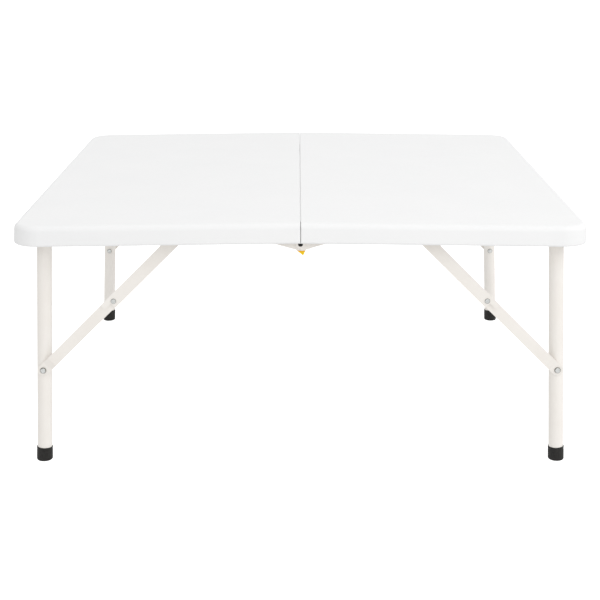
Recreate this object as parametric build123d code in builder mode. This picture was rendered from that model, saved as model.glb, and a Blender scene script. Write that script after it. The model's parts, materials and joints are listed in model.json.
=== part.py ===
from build123d import *
import os
from math import cos, hypot, radians, sin, tan

# Folding picnic table with a square top in two moulded halves.
# Frame: millimetres, +Z up, origin on the floor under the middle of the top.
# The seam and the hinge axis run along Y, and the front of the table faces -Y.
# Each piece is made for the front right corner and reflected to the others.

# Top
TOP_WIDTH = 940.0
TOP_DEPTH = 940.0
SEAM_UNDERSIDE = 396.6
PANEL_HEIGHT = 33.0
PANEL_TILT = 0.74
PANEL_DRAFT = 4.85
CORNER_RADIUS = 46.0
TOP_EDGE_RADIUS = 9.4
BOTTOM_EDGE_RADIUS = 3.5
SEAM_EDGE_RADIUS = 0.4
SEAM_CORNER_RADIUS = 2.5
SEAM_HALF_GAP = 0.25
SKIN_THICKNESS = 6.5
APRON_WIDTH = 17.5
SEAM_WALL = 10.0
RECESS_CORNER_RADIUS = 8.0

# Side rails under each half, square tube, one near the front and one near the rear
RAIL_INNER_FACE = 434.5
RAIL_WIDTH = 12.0
RAIL_HEIGHT = 24.0
RAIL_WALL = 1.5
RAIL_START = 14.0
RAIL_END = 440.0

# Rail screws
SCREW_PLACES = (48.0, 130.0, 262.0, 344.0)
SCREW_DIAMETER = 4.0
SCREW_HEAD_DIAMETER = 8.0
SCREW_HEAD_HEIGHT = 1.8
SCREW_BITE = 4.0

# Centre hinges
HINGE_HEIGHT = 391.6
HINGE_PLATE_THICKNESS = 1.5
HINGE_PLATE_STEP = 1.7
HINGE_JOGGLE_START = 15.0
HINGE_JOGGLE_END = 21.0
HINGE_EYE_RADIUS = 8.6
# Outline of a plate below the eye, as reach from the seam and rise above the hinge axis
HINGE_OUTLINE = ((0, 4.2), (0, -10.5), (5, -10.5), (40, -0.5), (92, 4), (92, 22), (14, 22), (14, 4.2))
HINGE_PIN_DIAMETER = 11.0
HINGE_PIN_BORE = 8.0
HINGE_PLUG_RECESS = 1.6
HINGE_HEAD_DIAMETER = 15.8
HINGE_HEAD_THICKNESS = 1.4
HINGE_HEAD_GAP = 0.2
HINGE_NOTCH_RADIUS = 11.3
HINGE_NOTCH_START = 443.0
HINGE_RIVET_PLACES = (34.0, 72.0)
HINGE_RIVET_RISE = 19.0
HINGE_RIVET_DIAMETER = 5.0
HINGE_RIVET_HEAD = 9.0
HINGE_RIVET_HEAD_HEIGHT = 1.6

# Leg frames
LEG_DIAMETER = 25.0
LEG_WALL = 1.2
LEG_SPLAY = 2.88
LEG_PLANE = 412.0
LEG_PIVOT_REACH = 421.9
LEG_PIVOT_RISE = 13.6
LEG_TOP_RADIUS = 12.6
CROSSBAR_DIAMETER = 16.0
CROSSBAR_WALL = 1.5
CROSSBAR_END = 447.6
FOOT_DIAMETER = 27.4
FOOT_HEIGHT = 25.0
FOOT_FLOOR = 4.0
FOOT_EDGE = 1.0
FOOT_SOLE_RADIUS = 2.6

# Folding braces, two links at each leg
BRACE_FOOT_HEIGHT = 166.9
BRACE_ANCHOR_REACH = 191.6
LINK_THICKNESS = 2.0
LOWER_LINK_WIDTH = 19.0
UPPER_LINK_WIDTH = 20.5
LOWER_TAB_FACE = 424.9
LOWER_MAIN_FACE = 428.0
UPPER_LINK_FACE = 430.5
LOWER_LINK_OVERRUN = 9.0
TAB_LENGTH = 11.4
JOGGLE_LENGTH = 11.6
TONGUE_REACH = 21.4
SHOULDER_REACH = 6.4
STOP_RIVET_OFFSET = 34.4

# Rivets
PIVOT_CLEARANCE = 0.05
BRACE_RIVET_DIAMETER = 6.0
BRACE_RIVET_HEAD = 10.4
BRACE_RIVET_HEAD_HEIGHT = 2.4
BRACE_RIVET_TAIL = 10.0
BRACE_RIVET_TAIL_HEIGHT = 1.6
MID_RIVET_DIAMETER = 6.0
MID_RIVET_HEAD = 8.8
MID_RIVET_HEAD_HEIGHT = 1.3
STOP_RIVET_DIAMETER = 6.4
STOP_RIVET_PROUD = 0.2
ANCHOR_PIN_DIAMETER = 8.0
ANCHOR_HEAD_DIAMETER = 12.0
ANCHOR_HEAD_HEIGHT = 1.4
ANCHOR_END_FACE = 430.6

# Plain tag under the front hinge
TAG_THICKNESS = 1.0
TAG_FACE = 433.2
TAG_OUTLINE = ((4.4, 368.5), (8.7, 377.8), (3, 379.3), (-11, 393), (-28, 405), (-28, 394), (-14, 383.5))

SIDES = ("left", "right")
ENDS = ("front", "rear")

TILT_SIN = sin(radians(PANEL_TILT))
TILT_COS = cos(radians(PANEL_TILT))
SPLAY_SIN = sin(radians(LEG_SPLAY))
SPLAY_COS = cos(radians(LEG_SPLAY))
RAIL_TOP = PANEL_HEIGHT - SKIN_THICKNESS
RAIL_BOTTOM = RAIL_TOP - RAIL_HEIGHT
RAIL_OUTER_FACE = RAIL_INNER_FACE + RAIL_WIDTH
RECESS_EDGE = TOP_DEPTH / 2 - APRON_WIDTH


def under_half(reach, rise):
    """X and Z of a point of the right half, by reach from the seam and rise above the apron's edge."""
    return (
        reach * TILT_COS + rise * TILT_SIN,
        SEAM_UNDERSIDE - reach * TILT_SIN + rise * TILT_COS,
    )


def half_plane(rise, reach=0.0, depth=0.0):
    """Plane parallel to the right half of the top, X away from the seam and Y to the rear."""
    x, z = under_half(reach, rise)
    return Plane(origin=(x, depth, z), x_dir=(TILT_COS, 0, -TILT_SIN), z_dir=(TILT_SIN, 0, TILT_COS))


def front_plane(x, z, distance, direction=(1.0, 0.0)):
    """Upright plane at the front, facing forwards, its X along a direction in the XZ plane."""
    return Plane(origin=(x, -distance, z), x_dir=(direction[0], 0, direction[1]), z_dir=(0, -1, 0))


# Pivots of the right leg frame and its braces, in the XZ plane
LEG_PIVOT = under_half(LEG_PIVOT_REACH, LEG_PIVOT_RISE)
BRACE_ANCHOR = under_half(BRACE_ANCHOR_REACH, LEG_PIVOT_RISE)
BRACE_FOOT = (
    LEG_PIVOT[0] + (LEG_PIVOT[1] - BRACE_FOOT_HEIGHT) * tan(radians(LEG_SPLAY)),
    BRACE_FOOT_HEIGHT,
)
LEG_PIVOT_TO_FOOT = hypot(BRACE_FOOT[0] - LEG_PIVOT[0], BRACE_FOOT[1] - LEG_PIVOT[1])
# The links fold flat beside the leg when their lengths differ by what the two arms at the pivot differ
ARM_DIFFERENCE = LEG_PIVOT_TO_FOOT - (LEG_PIVOT_REACH - BRACE_ANCHOR_REACH)
BRACE_SPAN = hypot(BRACE_ANCHOR[0] - BRACE_FOOT[0], BRACE_ANCHOR[1] - BRACE_FOOT[1])
LOWER_LINK_LENGTH = (BRACE_SPAN + ARM_DIFFERENCE) / 2
UPPER_LINK_LENGTH = (BRACE_SPAN - ARM_DIFFERENCE) / 2
BRACE_DOWN = (
    (BRACE_FOOT[0] - BRACE_ANCHOR[0]) / BRACE_SPAN,
    (BRACE_FOOT[1] - BRACE_ANCHOR[1]) / BRACE_SPAN,
)
BRACE_UP = (-BRACE_DOWN[0], -BRACE_DOWN[1])
BRACE_MIDDLE = (
    BRACE_ANCHOR[0] + UPPER_LINK_LENGTH * BRACE_DOWN[0],
    BRACE_ANCHOR[1] + UPPER_LINK_LENGTH * BRACE_DOWN[1],
)
STOP_RIVET = (
    BRACE_MIDDLE[0] + STOP_RIVET_OFFSET * BRACE_DOWN[0],
    BRACE_MIDDLE[1] + STOP_RIVET_OFFSET * BRACE_DOWN[1],
)


def save(shape, name):
    """Labels a finished piece and writes its file."""
    shape.label = name
    export_step(shape, f"parts/{name}.step")


def place(piece, name, side, end=None):
    """Writes a piece made for the front right, reflected to its own side and end."""
    with BuildPart() as placed:
        shape = piece
        if side == "left":
            shape = mirror(shape, about=Plane.YZ, mode=Mode.PRIVATE)
        if end == "rear":
            shape = mirror(shape, about=Plane.XZ, mode=Mode.PRIVATE)
        add(shape)
    save(placed.part, name)


def front_disc(centre, near, far, diameter):
    """A round pin along Y at the front, between two distances from the middle."""
    with BuildSketch(front_plane(*centre, near)) as disc:
        Circle(diameter / 2)
    extrude(disc.sketch, amount=far - near)


os.makedirs("parts", exist_ok=True)

# Moulded half of the top: skin, apron on three sides, thin wall at the seam
seam_plane = Plane(
    origin=(SEAM_HALF_GAP * TILT_COS, 0, SEAM_UNDERSIDE - SEAM_HALF_GAP * TILT_SIN),
    x_dir=(0, 1, 0),
    z_dir=(TILT_COS, 0, -TILT_SIN),
)
seam_corner_side = SEAM_CORNER_RADIUS + SEAM_HALF_GAP
draft_direction = Vector(0, sin(radians(PANEL_DRAFT)), cos(radians(PANEL_DRAFT)))
# What the rounded upright edge at the seam leaves out of a square corner, along the drafted front face
with BuildPart() as seam_corner:
    with BuildSketch(half_plane(0)):
        with Locations((seam_corner_side / 2, (seam_corner_side - TOP_DEPTH) / 2 - SEAM_CORNER_RADIUS)):
            Rectangle(seam_corner_side, seam_corner_side + 2 * SEAM_CORNER_RADIUS)
        with Locations((seam_corner_side, SEAM_CORNER_RADIUS - TOP_DEPTH / 2)):
            Circle(SEAM_CORNER_RADIUS, mode=Mode.SUBTRACT)
    extrude(amount=PANEL_HEIGHT, dir=draft_direction)

recess_length = TOP_WIDTH / 2 - APRON_WIDTH - SEAM_WALL
rail_middle = RAIL_INNER_FACE + RAIL_WIDTH / 2
with BuildPart() as top_panel:
    with BuildSketch(half_plane(0)):
        RectangleRounded(TOP_WIDTH, TOP_DEPTH, CORNER_RADIUS)
    extrude(amount=PANEL_HEIGHT, taper=PANEL_DRAFT)
    fillet(top_panel.faces().sort_by(Axis.Z)[-1].edges(), TOP_EDGE_RADIUS)
    fillet(top_panel.faces().sort_by(Axis.Z)[0].edges(), BOTTOM_EDGE_RADIUS)
    split(bisect_by=seam_plane, keep=Keep.TOP)
    fillet(top_panel.faces().sort_by(Axis.X)[0].edges().sort_by(Axis.Z)[-1], SEAM_EDGE_RADIUS)
    add(seam_corner.part, mode=Mode.SUBTRACT)
    add(mirror(seam_corner.part, about=Plane.XZ, mode=Mode.PRIVATE), mode=Mode.SUBTRACT)
    with BuildSketch(half_plane(0, SEAM_WALL + recess_length / 2)):
        RectangleRounded(recess_length, 2 * RECESS_EDGE, RECESS_CORNER_RADIUS)
    extrude(amount=RAIL_TOP, mode=Mode.SUBTRACT)
    with BuildSketch(half_plane(RAIL_TOP)):
        for reach in SCREW_PLACES:
            with Locations((reach, rail_middle), (reach, -rail_middle)):
                Circle(SCREW_DIAMETER / 2)
    extrude(amount=SCREW_BITE, mode=Mode.SUBTRACT)
    for hinge_side in (Plane.XZ.offset(HINGE_NOTCH_START), Plane.XZ.offset(-RECESS_EDGE)):
        with BuildSketch(hinge_side):
            with Locations((0, HINGE_HEIGHT)):
                Circle(HINGE_NOTCH_RADIUS)
        extrude(amount=RECESS_EDGE - HINGE_NOTCH_START, mode=Mode.SUBTRACT)
for side in SIDES:
    place(top_panel.part, f"{side}_top_panel", side)

# Side rail: square tube screwed under the skin, bored for the crossbar and the brace anchor
rail_centre = (RAIL_START + RAIL_END) / 2
with BuildPart() as side_rail:
    with BuildSketch(half_plane(RAIL_BOTTOM, rail_centre, -rail_middle)):
        Rectangle(RAIL_END - RAIL_START, RAIL_WIDTH)
    extrude(amount=RAIL_HEIGHT)
    with BuildSketch(half_plane(RAIL_BOTTOM + RAIL_WALL, rail_centre, -rail_middle)):
        Rectangle(RAIL_END - RAIL_START, RAIL_WIDTH - 2 * RAIL_WALL)
    extrude(amount=RAIL_HEIGHT - 2 * RAIL_WALL, mode=Mode.SUBTRACT)
    with BuildSketch(front_plane(*LEG_PIVOT, RAIL_INNER_FACE)):
        Circle(CROSSBAR_DIAMETER / 2 + PIVOT_CLEARANCE)
    extrude(amount=RAIL_WIDTH, mode=Mode.SUBTRACT)
    with BuildSketch(front_plane(*BRACE_ANCHOR, RAIL_INNER_FACE)):
        Circle(ANCHOR_PIN_DIAMETER / 2)
    extrude(amount=RAIL_WALL, mode=Mode.SUBTRACT)
    with BuildSketch(half_plane(RAIL_BOTTOM, 0, -rail_middle)):
        for reach in SCREW_PLACES:
            with Locations((reach, 0)):
                Circle(SCREW_DIAMETER / 2)
    extrude(amount=RAIL_HEIGHT, mode=Mode.SUBTRACT)
    with BuildSketch(front_plane(0, HINGE_HEIGHT, RAIL_OUTER_FACE - RAIL_WALL)):
        for reach in HINGE_RIVET_PLACES:
            with Locations((reach, HINGE_RIVET_RISE)):
                Circle(HINGE_RIVET_DIAMETER / 2)
    extrude(amount=RAIL_WALL, mode=Mode.SUBTRACT)

# Pan head screws that hold a rail to the skin
with BuildPart() as rail_screws:
    with BuildSketch(half_plane(RAIL_BOTTOM - SCREW_HEAD_HEIGHT, 0, -rail_middle)):
        for reach in SCREW_PLACES:
            with Locations((reach, 0)):
                Circle(SCREW_HEAD_DIAMETER / 2)
    extrude(amount=SCREW_HEAD_HEIGHT)
    with BuildSketch(half_plane(RAIL_BOTTOM - SCREW_HEAD_HEIGHT, 0, -rail_middle)):
        for reach in SCREW_PLACES:
            with Locations((reach, 0)):
                Circle(SCREW_DIAMETER / 2)
    extrude(amount=SCREW_HEAD_HEIGHT + RAIL_HEIGHT + SCREW_BITE)
for side in SIDES:
    for end in ENDS:
        place(side_rail.part, f"{side}_{end}_side_rail", side, end)
        place(rail_screws.part, f"{side}_{end}_rail_screws", side, end)

# Hinge plates: the left one lies flat on its rail, the right one steps over it to share the pin
plate_outer_face = RAIL_OUTER_FACE + HINGE_PLATE_THICKNESS
with BuildPart() as inner_hinge_plate:
    with BuildSketch(front_plane(0, HINGE_HEIGHT, RAIL_OUTER_FACE)):
        Polygon(*HINGE_OUTLINE, align=None)
        Circle(HINGE_EYE_RADIUS)
        Circle(HINGE_PIN_DIAMETER / 2, mode=Mode.SUBTRACT)
        for reach in HINGE_RIVET_PLACES:
            with Locations((reach, HINGE_RIVET_RISE)):
                Circle(HINGE_RIVET_DIAMETER / 2, mode=Mode.SUBTRACT)
    extrude(amount=HINGE_PLATE_THICKNESS)

plate_reach = HINGE_OUTLINE[4][0]
with BuildPart() as outer_hinge_plate:
    with BuildSketch(front_plane(0, HINGE_HEIGHT, RAIL_OUTER_FACE)):
        Polygon(*HINGE_OUTLINE, align=None)
        Circle(HINGE_EYE_RADIUS)
        Circle(HINGE_PIN_DIAMETER / 2 + PIVOT_CLEARANCE, mode=Mode.SUBTRACT)
        for reach in HINGE_RIVET_PLACES:
            with Locations((reach, HINGE_RIVET_RISE)):
                Circle(HINGE_RIVET_DIAMETER / 2, mode=Mode.SUBTRACT)
    extrude(amount=HINGE_PLATE_THICKNESS + HINGE_PLATE_STEP)
    with BuildSketch(Plane.XY.offset(HINGE_HEIGHT)):
        with BuildLine():
            Polyline(
                (-plate_reach, -plate_outer_face - HINGE_PLATE_STEP),
                (HINGE_JOGGLE_START, -plate_outer_face - HINGE_PLATE_STEP),
                (HINGE_JOGGLE_END, -plate_outer_face),
                (plate_reach, -plate_outer_face),
                (plate_reach, -RAIL_OUTER_FACE),
                (HINGE_JOGGLE_END, -RAIL_OUTER_FACE),
                (HINGE_JOGGLE_START, -RAIL_OUTER_FACE - HINGE_PLATE_STEP),
                (-plate_reach, -RAIL_OUTER_FACE - HINGE_PLATE_STEP),
                close=True,
            )
        make_face()
    extrude(amount=plate_reach, both=True, mode=Mode.INTERSECT)

# Rivets that hold a hinge plate to its rail
with BuildPart() as hinge_rivets:
    for reach in HINGE_RIVET_PLACES:
        centre = (reach, HINGE_HEIGHT + HINGE_RIVET_RISE)
        head_end = plate_outer_face + HINGE_RIVET_HEAD_HEIGHT
        front_disc(centre, RAIL_OUTER_FACE - RAIL_WALL, head_end, HINGE_RIVET_DIAMETER)
        front_disc(centre, plate_outer_face, head_end, HINGE_RIVET_HEAD)

# Hollow pin through both plates, headed at each end, and the dark plug that closes it
with BuildPart() as hinge_pin:
    hinge_axis = (0, HINGE_HEIGHT)
    pin_end = plate_outer_face + HINGE_PLATE_STEP + HINGE_HEAD_GAP
    front_disc(hinge_axis, RAIL_OUTER_FACE - HINGE_HEAD_THICKNESS, RAIL_OUTER_FACE, HINGE_HEAD_DIAMETER)
    front_disc(hinge_axis, RAIL_OUTER_FACE, pin_end, HINGE_PIN_DIAMETER)
    front_disc(hinge_axis, pin_end, pin_end + HINGE_HEAD_THICKNESS, HINGE_HEAD_DIAMETER)
    with BuildSketch(front_plane(*hinge_axis, RAIL_OUTER_FACE - HINGE_HEAD_THICKNESS)):
        Circle(HINGE_PIN_BORE / 2)
    extrude(amount=pin_end - RAIL_OUTER_FACE + 2 * HINGE_HEAD_THICKNESS, mode=Mode.SUBTRACT)
with BuildPart() as hinge_plug:
    plug_end = pin_end + HINGE_HEAD_THICKNESS - HINGE_PLUG_RECESS
    front_disc(hinge_axis, RAIL_OUTER_FACE - HINGE_HEAD_THICKNESS, plug_end, HINGE_PIN_BORE)
for end in ENDS:
    place(inner_hinge_plate.part, f"left_{end}_hinge_plate", "left", end)
    place(outer_hinge_plate.part, f"right_{end}_hinge_plate", "right", end)
    place(hinge_pin.part, f"{end}_hinge_pin", "right", end)
    place(hinge_plug.part, f"{end}_hinge_plug", "right", end)
    for side in SIDES:
        place(hinge_rivets.part, f"{side}_{end}_hinge_rivets", side, end)

# Crossbar: the pivot tube that joins the two legs of a half
crossbar_end_plane = front_plane(*LEG_PIVOT, -CROSSBAR_END)
with BuildPart() as crossbar:
    with BuildSketch(crossbar_end_plane):
        Circle(CROSSBAR_DIAMETER / 2)
        Circle(CROSSBAR_DIAMETER / 2 - CROSSBAR_WALL, mode=Mode.SUBTRACT)
    extrude(amount=2 * CROSSBAR_END)
for side in SIDES:
    place(crossbar.part, f"{side}_crossbar", side)

# Leg tube: round, splayed outwards, bored for the crossbar, its top rounded to swing under the skin
leg_direction = (SPLAY_SIN, -SPLAY_COS)
leg_plane = Plane(
    origin=(LEG_PIVOT[0], -LEG_PLANE, LEG_PIVOT[1]),
    x_dir=(0, 1, 0),
    z_dir=(SPLAY_SIN, 0, -SPLAY_COS),
)
leg_run = LEG_PIVOT[1] / SPLAY_COS
with BuildPart() as leg_tube:
    with BuildSketch(leg_plane.offset(-LEG_TOP_RADIUS)):
        Circle(LEG_DIAMETER / 2)
        Circle(LEG_DIAMETER / 2 - LEG_WALL, mode=Mode.SUBTRACT)
    extrude(amount=LEG_TOP_RADIUS + leg_run + LEG_DIAMETER)
    split(bisect_by=Plane.XY.offset(FOOT_FLOOR), keep=Keep.TOP)
    with BuildSketch(front_plane(*LEG_PIVOT, LEG_PLANE, leg_direction)):
        with Locations((-LEG_DIAMETER, 0)):
            Rectangle(2 * LEG_DIAMETER, 2 * LEG_DIAMETER)
        Circle(LEG_TOP_RADIUS, mode=Mode.SUBTRACT)
    extrude(amount=LEG_DIAMETER, both=True, mode=Mode.SUBTRACT)
    with BuildSketch(front_plane(*LEG_PIVOT, LEG_PLANE)):
        Circle(CROSSBAR_DIAMETER / 2)
    extrude(amount=LEG_DIAMETER, both=True, mode=Mode.SUBTRACT)
    with BuildSketch(front_plane(*BRACE_FOOT, LEG_PLANE)):
        Circle(BRACE_RIVET_DIAMETER / 2)
    extrude(amount=LEG_DIAMETER, both=True, mode=Mode.SUBTRACT)

# Rubber foot cap over the end of the leg, flat on the floor
foot_top = leg_plane.offset(leg_run - FOOT_HEIGHT)
with BuildPart() as leg_end:
    with BuildSketch(foot_top):
        Circle(LEG_DIAMETER / 2)
    extrude(amount=FOOT_HEIGHT + FOOT_DIAMETER)
    split(bisect_by=Plane.XY.offset(FOOT_FLOOR), keep=Keep.TOP)
with BuildPart() as foot_cap:
    with BuildSketch(foot_top):
        Circle(FOOT_DIAMETER / 2)
    extrude(amount=FOOT_HEIGHT + FOOT_DIAMETER)
    fillet(foot_cap.faces().sort_by(Axis.Z)[-1].edges(), FOOT_EDGE)
    split(bisect_by=Plane.XY, keep=Keep.TOP)
    fillet(foot_cap.faces().sort_by(Axis.Z)[0].edges(), FOOT_SOLE_RADIUS)
    add(leg_end.part, mode=Mode.SUBTRACT)

# Rivet through the leg on which the lower link turns
tail_face = LEG_PLANE - LEG_DIAMETER / 2 - BRACE_RIVET_TAIL_HEIGHT
head_face = LOWER_TAB_FACE + LINK_THICKNESS + PIVOT_CLEARANCE
head_end = head_face + BRACE_RIVET_HEAD_HEIGHT
with BuildPart() as brace_rivet:
    front_disc(BRACE_FOOT, tail_face, head_end, BRACE_RIVET_DIAMETER)
    front_disc(BRACE_FOOT, head_face, head_end, BRACE_RIVET_HEAD)
    fillet(brace_rivet.faces().sort_by(Axis.Y)[0].edges(), BRACE_RIVET_HEAD_HEIGHT * 0.8)
    front_disc(BRACE_FOOT, tail_face, tail_face + BRACE_RIVET_TAIL_HEIGHT, BRACE_RIVET_TAIL)
    fillet(brace_rivet.faces().sort_by(Axis.Y)[-1].edges(), BRACE_RIVET_TAIL_HEIGHT * 0.7)

# Lower link: flat strip with a joggled tab against the leg
lower_outline = front_plane(*BRACE_FOOT, LOWER_TAB_FACE, BRACE_UP)
lower_section = Plane(
    origin=(BRACE_FOOT[0], 0, BRACE_FOOT[1]),
    x_dir=(BRACE_UP[0], 0, BRACE_UP[1]),
    z_dir=(BRACE_UP[1], 0, -BRACE_UP[0]),
)
lower_reach = LOWER_LINK_LENGTH + LOWER_LINK_OVERRUN
lower_depth = LOWER_MAIN_FACE + LINK_THICKNESS - LOWER_TAB_FACE
joggle_end = TAB_LENGTH + JOGGLE_LENGTH
with BuildPart() as lower_link:
    with BuildSketch(lower_outline):
        with Locations(((lower_reach - LOWER_LINK_WIDTH / 2) / 2, 0)):
            SlotOverall(lower_reach + LOWER_LINK_WIDTH / 2, LOWER_LINK_WIDTH)
    extrude(amount=lower_depth)
    with BuildSketch(lower_section):
        with BuildLine():
            Polyline(
                (-LOWER_LINK_WIDTH, LOWER_TAB_FACE),
                (TAB_LENGTH, LOWER_TAB_FACE),
                (joggle_end, LOWER_MAIN_FACE),
                (lower_reach + 1, LOWER_MAIN_FACE),
                (lower_reach + 1, LOWER_MAIN_FACE + LINK_THICKNESS),
                (joggle_end, LOWER_MAIN_FACE + LINK_THICKNESS),
                (TAB_LENGTH, LOWER_TAB_FACE + LINK_THICKNESS),
                (-LOWER_LINK_WIDTH, LOWER_TAB_FACE + LINK_THICKNESS),
                close=True,
            )
        make_face()
    extrude(amount=LOWER_LINK_WIDTH, both=True, mode=Mode.INTERSECT)
    with BuildSketch(lower_outline):
        Circle(BRACE_RIVET_DIAMETER / 2 + PIVOT_CLEARANCE)
        with Locations((LOWER_LINK_LENGTH, 0)):
            Circle(MID_RIVET_DIAMETER / 2)
        with Locations((LOWER_LINK_LENGTH - STOP_RIVET_OFFSET, 0)):
            Circle(STOP_RIVET_DIAMETER / 2)
    extrude(amount=lower_depth, mode=Mode.SUBTRACT)

# Rivets set in the lower link: the flush stop rivet and the tail of the middle pivot
proud_face = LOWER_MAIN_FACE + LINK_THICKNESS + STOP_RIVET_PROUD
with BuildPart() as link_rivets:
    front_disc(STOP_RIVET, LOWER_MAIN_FACE - 1, proud_face, STOP_RIVET_DIAMETER)
    front_disc(BRACE_MIDDLE, LOWER_MAIN_FACE - 1, proud_face, MID_RIVET_DIAMETER)

# Upper link: flat strip, its far end a long tongue on the outer half and a shoulder on the inner half
half_width = UPPER_LINK_WIDTH / 2
shoulder = UPPER_LINK_LENGTH + SHOULDER_REACH
tongue = UPPER_LINK_LENGTH + TONGUE_REACH
with BuildPart() as upper_link:
    with BuildSketch(front_plane(*BRACE_ANCHOR, UPPER_LINK_FACE, BRACE_DOWN)) as upper_outline:
        with BuildLine():
            Polyline(
                (0, -half_width),
                (shoulder, -half_width),
                (shoulder, 0),
                (tongue, 0),
                (tongue, half_width),
                (0, half_width),
            )
            ThreePointArc((0, half_width), (-half_width, 0), (0, -half_width))
        make_face()
        fillet(upper_outline.vertices().group_by(Axis.X)[-1], half_width / 4)
        Circle(ANCHOR_PIN_DIAMETER / 2 + PIVOT_CLEARANCE, mode=Mode.SUBTRACT)
        with Locations((UPPER_LINK_LENGTH, 0)):
            Circle(MID_RIVET_DIAMETER / 2, mode=Mode.SUBTRACT)
    extrude(amount=LINK_THICKNESS)

# Head of the middle pivot, set in the upper link
upper_outer_face = UPPER_LINK_FACE + LINK_THICKNESS
with BuildPart() as mid_rivet:
    front_disc(BRACE_MIDDLE, UPPER_LINK_FACE, upper_outer_face, MID_RIVET_DIAMETER)
    front_disc(BRACE_MIDDLE, upper_outer_face, upper_outer_face + MID_RIVET_HEAD_HEIGHT, MID_RIVET_HEAD)
    fillet(mid_rivet.faces().sort_by(Axis.Y)[0].edges(), MID_RIVET_HEAD_HEIGHT * 0.8)

# Anchor pin in the rail on which the upper link turns, with a collar that spaces the link off the rail
rail_wall_inside = RAIL_INNER_FACE + RAIL_WALL
with BuildPart() as anchor_pin:
    front_disc(BRACE_ANCHOR, ANCHOR_END_FACE, rail_wall_inside, ANCHOR_PIN_DIAMETER)
    front_disc(BRACE_ANCHOR, upper_outer_face + 2 * PIVOT_CLEARANCE, RAIL_INNER_FACE, ANCHOR_HEAD_DIAMETER)
    front_disc(BRACE_ANCHOR, rail_wall_inside, rail_wall_inside + ANCHOR_HEAD_HEIGHT, ANCHOR_HEAD_DIAMETER)

CORNER_PIECES = {
    "leg_tube": leg_tube,
    "foot_cap": foot_cap,
    "brace_rivet": brace_rivet,
    "lower_link": lower_link,
    "link_rivets": link_rivets,
    "upper_link": upper_link,
    "mid_rivet": mid_rivet,
    "anchor_pin": anchor_pin,
}
for side in SIDES:
    for end in ENDS:
        for name, piece in CORNER_PIECES.items():
            place(piece.part, f"{side}_{end}_{name}", side, end)

# Plain tag hanging under the front hinge from the left rail
with BuildPart() as hang_tag:
    with BuildSketch(front_plane(0, 0, TAG_FACE)):
        Polygon(*TAG_OUTLINE, align=None)
    extrude(amount=TAG_THICKNESS)
save(hang_tag.part, "hang_tag")
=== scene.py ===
import json
import math

import bmesh
import bpy
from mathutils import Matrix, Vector


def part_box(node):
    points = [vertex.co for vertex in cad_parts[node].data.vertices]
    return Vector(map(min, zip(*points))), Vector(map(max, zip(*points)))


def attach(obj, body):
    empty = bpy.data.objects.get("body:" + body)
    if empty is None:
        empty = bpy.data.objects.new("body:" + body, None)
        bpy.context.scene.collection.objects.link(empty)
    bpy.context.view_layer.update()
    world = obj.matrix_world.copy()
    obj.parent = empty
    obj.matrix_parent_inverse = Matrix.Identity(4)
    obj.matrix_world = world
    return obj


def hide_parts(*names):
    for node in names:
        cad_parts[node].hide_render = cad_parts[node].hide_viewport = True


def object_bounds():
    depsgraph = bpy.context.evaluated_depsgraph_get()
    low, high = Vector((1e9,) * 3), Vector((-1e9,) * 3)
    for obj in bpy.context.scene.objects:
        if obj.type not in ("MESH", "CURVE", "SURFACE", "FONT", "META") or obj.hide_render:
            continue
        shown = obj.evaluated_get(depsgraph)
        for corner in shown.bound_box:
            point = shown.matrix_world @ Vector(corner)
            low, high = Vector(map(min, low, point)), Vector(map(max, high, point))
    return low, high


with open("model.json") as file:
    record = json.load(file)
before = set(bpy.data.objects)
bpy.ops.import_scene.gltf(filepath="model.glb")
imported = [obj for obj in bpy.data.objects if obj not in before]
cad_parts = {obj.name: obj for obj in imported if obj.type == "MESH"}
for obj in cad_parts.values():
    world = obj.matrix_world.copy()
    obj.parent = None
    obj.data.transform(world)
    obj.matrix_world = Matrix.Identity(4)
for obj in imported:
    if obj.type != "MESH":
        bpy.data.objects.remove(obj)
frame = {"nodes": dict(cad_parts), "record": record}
cad_low, cad_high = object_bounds()

SIDES = {"left": -1, "right": 1}
ENDS = {"front": -1, "rear": 1}

# Sizes of the table, as in the CAD model, in metres
PANEL_TILT = math.radians(0.74)
SKIN = 0.0065
APRON_DEPTH = 0.033
LEG_RADIUS = 0.0125
LEG_SPLAY = math.radians(2.88)
CROSSBAR_RADIUS = 0.008

# Strengths of the studio lights
WORLD_DIM = 0.69
WORLD_BRIGHT = 1.15
FLOOR_GLOW = 0.56
SEEN_WHITE = 1.1
KEY_POWER = 11.0
FRONT_POWER = 1.5


# Node helpers

def start_material(name, color, roughness, metallic=0.0):
    """A new material, its node tree and its Principled shader."""
    material = bpy.data.materials.new(name)
    material.use_nodes = True
    tree = material.node_tree
    shader = tree.nodes["Principled BSDF"]
    shader.inputs["Base Color"].default_value = (*color, 1)
    shader.inputs["Roughness"].default_value = roughness
    shader.inputs["Metallic"].default_value = metallic
    material.diffuse_color = (*color, 1)
    return material, tree, shader


def object_position(tree):
    """The point on the piece in the row frame."""
    return tree.nodes.new("ShaderNodeTexCoord").outputs["Object"]


def noise(tree, position, per_metre, detail=2.0):
    """Cloudy noise from 0 to 1, with so many waves to the metre."""
    node = tree.nodes.new("ShaderNodeTexNoise")
    node.inputs["Scale"].default_value = per_metre
    node.inputs["Detail"].default_value = detail
    tree.links.new(position, node.inputs["Vector"])
    return node.outputs["Fac"]


def cells(tree, position, per_metre):
    """Rounded pebbles, with so many to the metre."""
    node = tree.nodes.new("ShaderNodeTexVoronoi")
    node.feature = "SMOOTH_F1"
    node.inputs["Scale"].default_value = per_metre
    node.inputs["Smoothness"].default_value = 0.6
    tree.links.new(position, node.inputs["Vector"])
    return node.outputs["Distance"]


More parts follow.
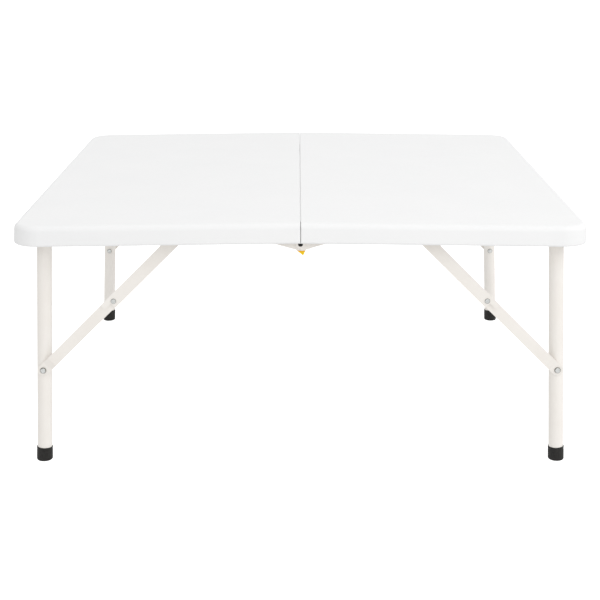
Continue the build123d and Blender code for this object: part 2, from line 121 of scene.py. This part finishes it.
def ramp(tree, value, stops):
    """Colours along a value from 0 to 1."""
    node = tree.nodes.new("ShaderNodeValToRGB")
    elements = node.color_ramp.elements
    while len(elements) < len(stops):
        elements.new(0.5)
    for element, (at, color) in zip(elements, stops):
        element.position = at
        element.color = (*color, 1)
    tree.links.new(value, node.inputs["Fac"])
    return node.outputs["Color"]


def span(tree, value, low, high, at=(0.3, 0.7)):
    """A value spread between two levels."""
    node = tree.nodes.new("ShaderNodeMapRange")
    node.inputs["From Min"].default_value = at[0]
    node.inputs["From Max"].default_value = at[1]
    node.inputs["To Min"].default_value = low
    node.inputs["To Max"].default_value = high
    tree.links.new(value, node.inputs["Value"])
    return node.outputs["Result"]


def multiply(tree, one, other):
    """Two colours multiplied."""
    node = tree.nodes.new("ShaderNodeMix")
    node.data_type = "RGBA"
    node.blend_type = "MULTIPLY"
    node.inputs["Factor"].default_value = 1.0
    tree.links.new(one, node.inputs["A"])
    tree.links.new(other, node.inputs["B"])
    return node.outputs["Result"]


def bump(tree, shader, height, strength, distance, under=None):
    """Adds relief to the shader, over an earlier relief if one is given."""
    node = tree.nodes.new("ShaderNodeBump")
    node.inputs["Strength"].default_value = strength
    node.inputs["Distance"].default_value = distance
    tree.links.new(height, node.inputs["Height"])
    if under:
        tree.links.new(under, node.inputs["Normal"])
    tree.links.new(node.outputs["Normal"], shader.inputs["Normal"])
    return node.outputs["Normal"]


# Materials

def make_white_plastic():
    """Blow-moulded polyethylene: fine pebble grain, faint clouding, slightly uneven gloss."""
    material, tree, shader = start_material("white_plastic", (0.84, 0.842, 0.842), 0.45)
    at = object_position(tree)
    cloud = noise(tree, at, 9.0, detail=4.0)
    tree.links.new(
        ramp(tree, cloud, ((0.3, (0.835, 0.837, 0.838)), (0.7, (0.846, 0.847, 0.846)))),
        shader.inputs["Base Color"],
    )
    gloss = noise(tree, at, 130.0, detail=3.0)
    tree.links.new(span(tree, gloss, 0.4, 0.52), shader.inputs["Roughness"])
    shader.inputs["Specular IOR Level"].default_value = 0.42
    wave = bump(tree, shader, noise(tree, at, 14.0), 0.12, 0.0012)
    bump(tree, shader, cells(tree, at, 620.0), 0.16, 0.00022, under=wave)
    return material


def make_painted_steel():
    """Off-white powder coat: orange peel, small specks and a warm tint."""
    material, tree, shader = start_material("painted_steel", (0.85, 0.815, 0.77), 0.36)
    at = object_position(tree)
    tone = noise(tree, at, 22.0, detail=5.0)
    tree.links.new(
        ramp(tree, tone, ((0.28, (0.84, 0.80, 0.75)), (0.72, (0.87, 0.837, 0.793)))),
        shader.inputs["Base Color"],
    )
    tree.links.new(span(tree, noise(tree, at, 300.0), 0.3, 0.42), shader.inputs["Roughness"])
    shader.inputs["Coat Weight"].default_value = 0.12
    shader.inputs["Coat Roughness"].default_value = 0.2
    peel = bump(tree, shader, noise(tree, at, 420.0, detail=1.0), 0.12, 0.0002)
    bump(tree, shader, cells(tree, at, 1500.0), 0.05, 0.0001, under=peel)
    return material


def make_black_rubber():
    """Moulded rubber with a matt, slightly dusty skin."""
    material, tree, shader = start_material("black_rubber", (0.014, 0.0132, 0.012), 0.5)
    shader.inputs["Specular IOR Level"].default_value = 0.3
    at = object_position(tree)
    dust = noise(tree, at, 160.0, detail=4.0)
    tree.links.new(
        ramp(tree, dust, ((0.35, (0.009, 0.0084, 0.0075)), (0.75, (0.022, 0.021, 0.019)))),
        shader.inputs["Base Color"],
    )
    tree.links.new(span(tree, dust, 0.4, 0.62), shader.inputs["Roughness"])
    bump(tree, shader, noise(tree, at, 900.0, detail=2.0), 0.25, 0.00025)
    return material


def make_zinc():
    """Bright zinc plate with faint tool marks, with painted shade and dark reflection on the rims of the
    rivet heads.
    """
    material, tree, shader = start_material("zinc", (0.62, 0.64, 0.63), 0.26, metallic=1.0)
    at = object_position(tree)
    normal = tree.nodes.new("ShaderNodeTexCoord").outputs["Normal"]
    parts = tree.nodes.new("ShaderNodeSeparateXYZ")
    tree.links.new(normal, parts.inputs["Vector"])
    outward = tree.nodes.new("ShaderNodeMath")
    outward.operation = "ABSOLUTE"
    tree.links.new(parts.outputs["Y"], outward.inputs[0])
    # painted shade and dark reflection: the base colour darkens where the surface turns away from facing
    # front or back, as on the rounded rivet rims
    rim = ramp(tree, outward.outputs["Value"], (
        (0.50, (0.15, 0.14, 0.115)), (0.84, (0.42, 0.42, 0.39)), (0.95, (0.80, 0.81, 0.80)),
    ))
    marks = noise(tree, at, 350.0, detail=3.0)
    tone = ramp(tree, marks, ((0.3, (0.72, 0.73, 0.72)), (0.7, (1.0, 1.0, 1.0))))
    tree.links.new(multiply(tree, rim, tone), shader.inputs["Base Color"])
    tree.links.new(span(tree, marks, 0.2, 0.38), shader.inputs["Roughness"])
    bump(tree, shader, noise(tree, at, 1100.0), 0.2, 0.0002)
    return material


def make_tag_card():
    """Matt yellow card, orange across its upper part."""
    material, tree, shader = start_material("yellow_plastic", (1.0, 0.60, 0.02), 0.4)
    shader.inputs["Specular IOR Level"].default_value = 0.15
    at = object_position(tree)
    parts = tree.nodes.new("ShaderNodeSeparateXYZ")
    tree.links.new(at, parts.inputs["Vector"])
    height = span(tree, parts.outputs["Z"], 0.0, 1.0, at=(0.3715, 0.3765))
    band = ramp(tree, height, ((0.45, (1.0, 0.68, 0.02)), (0.95, (1.0, 0.50, 0.004))))
    clouding = noise(tree, at, 300.0, detail=3.0)
    ink = ramp(tree, clouding, ((0.35, (0.97, 0.95, 0.92)), (0.6, (1.0, 1.0, 1.0))))
    tree.links.new(multiply(tree, band, ink), shader.inputs["Base Color"])
    bump(tree, shader, noise(tree, at, 700.0), 0.1, 0.0001)
    return material


def make_tag_band():
    """White paper of the band across the tag."""
    material, tree, shader = start_material("tag_paper", (0.85, 0.86, 0.9), 0.55)
    at = object_position(tree)
    fibre = noise(tree, at, 500.0, detail=3.0)
    tree.links.new(
        ramp(tree, fibre, ((0.3, (0.80, 0.81, 0.86)), (0.7, (0.88, 0.89, 0.92)))),
        shader.inputs["Base Color"],
    )
    bump(tree, shader, noise(tree, at, 1500.0), 0.1, 0.0001)
    return material


materials = {
    "white_plastic": make_white_plastic(),
    "painted_steel": make_painted_steel(),
    "black_rubber": make_black_rubber(),
    "zinc": make_zinc(),
    "yellow_plastic": make_tag_card(),
}
tag_band_paper = make_tag_band()

for subpart in frame["record"]["subparts"]:
    node = frame["nodes"][subpart["node"]]
    node.data.materials.clear()
    node.data.materials.append(materials[subpart["material_slot"]])


# Detail pieces

def finish_piece(mesh_builder, name, body, slot, smooth=True):
    """Turns a bmesh into an object with its material, which rides on a body."""
    bmesh.ops.recalc_face_normals(mesh_builder, faces=mesh_builder.faces[:])
    mesh = bpy.data.meshes.new(name)
    mesh_builder.to_mesh(mesh)
    mesh_builder.free()
    for face in mesh.polygons:
        face.use_smooth = smooth
    piece = bpy.data.objects.new(name, mesh)
    bpy.context.scene.collection.objects.link(piece)
    piece.data.materials.append(materials[slot])
    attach(piece, body)
    return piece


def skin_rings(mesh_builder, rings, close_loop=False):
    """Joins rings of points with quads, and caps the ends unless the rings close into a loop."""
    made = [[mesh_builder.verts.new(point) for point in ring] for ring in rings]
    count = len(made[0])
    pairs = list(zip(made, made[1:]))
    if close_loop:
        pairs.append((made[-1], made[0]))
    for one, other in pairs:
        for i in range(count):
            j = (i + 1) % count
            mesh_builder.faces.new((one[i], one[j], other[j], other[i]))
    if not close_loop:
        mesh_builder.faces.new(made[0][::-1])
        mesh_builder.faces.new(made[-1])


def add_tack_offs(side):
    """Rings moulded under the skin where the two walls of a blown panel meet."""
    sign = SIDES[side]
    ceiling_at_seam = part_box(f"{side}_top_panel")[1].z - SKIN
    pitch = 0.0515
    around = 28
    # radius and drop below the skin of each ring of one boss
    profile = (
        (0.0135, -0.0004), (0.0130, 0.0), (0.0118, 0.0014), (0.0106, 0.0021), (0.0094, 0.0022),
        (0.0084, 0.0017), (0.0070, 0.0003), (0.0050, -0.0001), (0.0020, -0.0002),
    )
    builder = bmesh.new()
    for column in range(8):
        reach = 0.046 + 0.0475 * column
        rows = 15 if column % 2 == 0 else 14
        for row in range(rows):
            depth = (row - (rows - 1) / 2) * pitch
            rings = []
            for radius, drop in profile:
                ring = []
                for i in range(around):
                    angle = 2 * math.pi * i / around
                    out = reach + radius * math.cos(angle)
                    height = ceiling_at_seam - out * math.tan(PANEL_TILT) - drop
                    ring.append((sign * out, depth + radius * math.sin(angle), height))
                rings.append(ring)
            skin_rings(builder, rings)
    finish_piece(builder, f"{side}_tack_offs", f"{side}_half", "white_plastic")


def add_seam_lip():
    """Thin lip of the left half that closes the gap between the halves just under the surface."""
    low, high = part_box("left_top_panel")
    # depth under the surface and half width of the lip, round its cross section
    section = (
        (0.00005, -0.00042), (0.000035, -0.0002), (0.00003, 0.0), (0.000035, 0.0002), (0.00005, 0.00042),
        (0.00009, 0.00036), (0.0003, 0.00023), (0.0016, 0.00023), (0.0016, -0.00023), (0.0003, -0.00023),
        (0.00009, -0.00036),
    )
    # distance from the front or rear face, and how far the lip's end is sunk there
    ends = ((0.0265, 0.0012), (0.0275, 0.0005), (0.0300, 0.0001), (0.0340, 0.0))
    level_start = low.y + ends[-1][0]
    level_length = high.y - low.y - 2 * ends[-1][0]
    segments = 60
    stations = [(low.y + inset, sunk) for inset, sunk in ends]
    stations += [(level_start + level_length * i / segments, 0.0) for i in range(1, segments)]
    stations += [(high.y - inset, sunk) for inset, sunk in reversed(ends)]
    builder = bmesh.new()
    skin_rings(builder, [[(x, y, high.z - sunk - drop) for drop, x in section] for y, sunk in stations])
    finish_piece(builder, "seam_lip", "left_half", "white_plastic", False)


def add_seam_shadow_strip(end):
    """Narrow dark strip in the black rubber material, deep in the gap where the seam meets the front or
    rear apron: painted shadow for the shade inside the gap.
    """
    low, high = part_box("left_top_panel")
    facing = ENDS[end]
    face = high.y if facing > 0 else low.y
    # rise above the apron's lower edge and depth behind its face
    path = (
        (0.0008, 0.0032), (0.0040, 0.0033), (0.0100, 0.0038), (0.0160, 0.0043), (0.0210, 0.0050),
        (0.0250, 0.0064), (0.0280, 0.0086), (0.0300, 0.0112), (0.0311, 0.0140), (0.0316, 0.0170),
        (0.0318, 0.0205),
    )
    # across the gap and depth behind the strip's front
    section = (
        (-0.00023, 0.0004), (-0.00012, 0.0001), (0.0, 0.0), (0.00012, 0.0001), (0.00023, 0.0004),
        (0.00023, 0.0050), (0.0, 0.0053), (-0.00023, 0.0050),
    )
    lower_edge = high.z - APRON_DEPTH
    fall = 0.4
    rings = []
    for rise, depth in path:
        ring = []
        for across, behind in section:
            ring.append((across, face - facing * (depth + behind), lower_edge + rise - fall * behind))
        rings.append(ring)
    builder = bmesh.new()
    skin_rings(builder, rings)
    # the dark strip is painted shadow standing in for the shade deep in the seam gap
    finish_piece(builder, f"{end}_seam_shadow_strip", "left_half", "black_rubber", False)


def add_weld_bead(side, end, outward):
    """Rippled weld where a leg meets the crossbar, on the leg's outer or inner flank."""
    low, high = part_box(f"{side}_crossbar")
    centre_x = (low.x + high.x) / 2
    centre_z = (low.z + high.z) / 2
    tube_low, tube_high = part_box(f"{side}_{end}_leg_tube")
    plane = (tube_low.y + tube_high.y) / 2
    facing = ENDS[end] * outward
    path_radius = CROSSBAR_RADIUS + 0.0007
    bead_radius = 0.0016
    ripple, ripples = 0.16, 14
    steps, around = 84, 10
    rings = []
    for i in range(steps):
        angle = 2 * math.pi * i / steps
        across = path_radius * math.cos(angle)
        out = math.sqrt(LEG_RADIUS ** 2 - across ** 2)
        bead = bead_radius * (1 + ripple * math.cos(ripples * angle))
        ring = []
        for k in range(around):
            turn = 2 * math.pi * k / around
            radial = path_radius + bead * math.cos(turn)
            ring.append((
                centre_x + radial * math.cos(angle),
                plane + facing * (out + bead * math.sin(turn)),
                centre_z + radial * math.sin(angle),
            ))
        rings.append(ring)
    builder = bmesh.new()
    skin_rings(builder, rings, close_loop=True)
    where = "outer" if outward > 0 else "inner"
    finish_piece(builder, f"{side}_{end}_{where}_weld", f"{side}_leg_frame", "painted_steel")


def add_foot_cap(side, end):
    """Fluted rubber cap with a rounded sole and a shallow groove in it, over the end of the leg."""
    low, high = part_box(f"{side}_{end}_foot_cap")
    sign = SIDES[side]
    radius = (high.y - low.y) / 2
    middle_y = (high.y + low.y) / 2
    slope = math.tan(LEG_SPLAY)
    # the sole is level and the rim is square to the leg
    sole_x = (low.x if sign > 0 else high.x) + sign * (radius + 0.0255 * slope)
    rim = 0.02495
    flutes, flute_depth = 24, 0.00028
    # height above the floor and radius, from the socket floor over the rim and down to the sole
    profile = (
        (0.0042, 0.0020), (0.0042, 0.0124), (0.0100, LEG_RADIUS), (rim - 0.0004, LEG_RADIUS + 0.00003),
        (rim, LEG_RADIUS + 0.00035), (rim - 0.0002, radius - 0.00035), (rim - 0.0009, radius),
        (rim - 0.0030, radius), (rim - 0.0034, radius - 0.0003), (rim - 0.0042, radius - 0.0003),
        (0.0180, radius), (0.0150, radius), (0.0120, radius), (0.0090, radius), (0.0060, radius),
        (0.0036, radius), (0.0025, radius - 0.00005), (0.0014, radius - 0.00045), (0.0006, radius - 0.0012),
        (0.0, radius - 0.0026), (0.0, radius - 0.0036), (0.0005, radius - 0.0042),
        (0.0005, radius - 0.0056), (0.0, radius - 0.0062), (0.0, 0.0020),
    )
    around = 144
    rings = []
    for height, out in profile:
        ring = []
        fluted = flute_depth if 0.005 < height < 0.0185 and out > LEG_RADIUS + 0.0005 else 0.0
        lean = sign * slope * height / rim
        for i in range(around):
            angle = 2 * math.pi * i / around
            wide = out - fluted * (0.5 - 0.5 * math.cos(flutes * angle))
            across = wide * math.cos(angle)
            ring.append((
                sole_x - sign * slope * height + across,
                middle_y + wide * math.sin(angle),
                height + across * lean,
            ))
        rings.append(ring)
    builder = bmesh.new()
    skin_rings(builder, rings)
    cap = finish_piece(builder, f"{side}_{end}_rubber_cap", f"{side}_leg_frame", "black_rubber")
    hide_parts(f"{side}_{end}_foot_cap")


def card_shape(outline, near, thickness):
    """A thin card with a given outline in X and Z, its two faces gently curled together."""
    curl = 0.00015
    builder = bmesh.new()
    front = [builder.verts.new((x, near, z)) for x, z in outline]
    back = [builder.verts.new((x, near + thickness, z)) for x, z in outline]
    builder.faces.new(front)
    builder.faces.new(back[::-1])
    for i in range(len(outline)):
        j = (i + 1) % len(outline)
        builder.faces.new((front[i], front[j], back[j], back[i]))
    bmesh.ops.triangulate(builder, faces=builder.faces[:])
    bmesh.ops.subdivide_edges(builder, edges=builder.edges[:], cuts=3, use_grid_fill=True)
    for vert in builder.verts:
        vert.co.y += curl * math.sin(vert.co.x * 190.0 + vert.co.z * 60.0)
    return builder


def add_tag():
    """Hanging card with a narrow pale band across it."""
    low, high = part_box("hang_tag")
    middle = (low.y + high.y) / 2
    outline = (
        (0.0044, low.z), (0.0087, 0.3778), (0.0030, 0.3793), (-0.0110, 0.3930),
        (low.x, high.z), (low.x, 0.3940), (-0.0140, 0.3835),
    )
    card_mesh = card_shape(outline, middle - 0.00015, 0.0003)
    card = finish_piece(card_mesh, "tag_card", "left_half", "yellow_plastic", False)
    band_outline = (
        (-0.0058, 0.3772), (-0.0015, 0.3767), (0.0036, 0.3767), (0.0080, 0.3771), (0.0085, 0.3776),
        (0.0031, 0.3790), (-0.0075, 0.3790),
    )
    band_mesh = card_shape(band_outline, middle - 0.00034, 0.00012)
    band = finish_piece(band_mesh, "tag_band", "left_half", "yellow_plastic", False)
    band.data.materials.clear()
    band.data.materials.append(tag_band_paper)
    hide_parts("hang_tag")


add_seam_lip()
for end in ENDS:
    add_seam_shadow_strip(end)
add_tag()
for side in SIDES:
    add_tack_offs(side)
    for end in ENDS:
        add_foot_cap(side, end)
        for outward in (1, -1):
            add_weld_bead(side, end, outward)


# Stage

def seen_or_cast(tree, cast):
    """Plain white where the camera looks straight at it, and its own strength where it lights the table."""
    ray = tree.nodes.new("ShaderNodeLightPath")
    return span(tree, ray.outputs["Is Camera Ray"], cast, SEEN_WHITE, at=(0.0, 1.0))


def add_floor():
    """Pale level floor that lights the table from below as a white studio floor does."""
    bpy.ops.mesh.primitive_plane_add(size=80)
    floor = bpy.context.object
    floor.name = "studio_floor"
    floor.location.z = cad_low[2] - 0.0002
    material = bpy.data.materials.new("studio_floor")
    material.use_nodes = True
    tree = material.node_tree
    shader = tree.nodes["Principled BSDF"]
    shader.inputs["Base Color"].default_value = (0.3, 0.3, 0.3, 1)
    shader.inputs["Roughness"].default_value = 1.0
    shader.inputs["Specular IOR Level"].default_value = 0.0
    shader.inputs["Emission Color"].default_value = (1, 1, 1, 1)
    tree.links.new(seen_or_cast(tree, FLOOR_GLOW), shader.inputs["Emission Strength"])
    floor.data.materials.append(material)


def add_world():
    """White surroundings, brighter towards the upper right."""
    world = bpy.data.worlds.new("studio")
    bpy.context.scene.world = world
    world.use_nodes = True
    tree = world.node_tree
    background = tree.nodes["Background"]
    place = tree.nodes.new("ShaderNodeTexCoord")
    along = tree.nodes.new("ShaderNodeVectorMath")
    along.operation = "DOT_PRODUCT"
    along.inputs[1].default_value = (0.85, -0.05, 0.5)
    tree.links.new(place.outputs["Generated"], along.inputs[0])
    strength = span(tree, along.outputs["Value"], WORLD_DIM, WORLD_BRIGHT, at=(-0.8, 0.8))
    seen = tree.nodes.new("ShaderNodeMath")
    seen.operation = "MAXIMUM"
    tree.links.new(strength, seen.inputs[0])
    tree.links.new(seen_or_cast(tree, 0.0), seen.inputs[1])
    tree.links.new(seen.outputs["Value"], background.inputs["Strength"])
    background.inputs["Color"].default_value = (1, 1, 1, 1)


def add_area_light(name, place, aim, size, power):
    light = bpy.data.lights.new(name, "AREA")
    light.size = size
    light.energy = power
    lamp = bpy.data.objects.new(name, light)
    lamp.location = place
    lamp.rotation_euler = (Vector(aim) - Vector(place)).to_track_quat("-Z", "Y").to_euler()
    bpy.context.scene.collection.objects.link(lamp)


def add_camera():
    """Camera in front of the middle of the table, above it and tilted down."""
    camera_data = bpy.data.cameras.new("camera")
    camera_data.sensor_width = 36.0
    camera_data.lens = 80.24
    camera = bpy.data.objects.new("camera", camera_data)
    camera.location = (-0.0045, -2.5611, 0.9106)
    pitch = math.radians(16.2)
    yaw = math.atan2(-camera.location.x, -camera.location.y)
    camera.rotation_euler = (math.pi / 2 - pitch, 0, -yaw)
    bpy.context.scene.collection.objects.link(camera)
    bpy.context.scene.camera = camera


add_floor()
add_world()
add_area_light("key_right", (2.0, -1.9, 2.3), (0, 0, 0.35), 2.0, KEY_POWER)
add_area_light("front", (0.3, -1.8, 0.9), (0.1, -0.3, 0.3), 0.6, FRONT_POWER)
add_camera()
bpy.context.scene.view_settings.view_transform = "Standard"
bpy.context.scene.view_settings.look = "None"
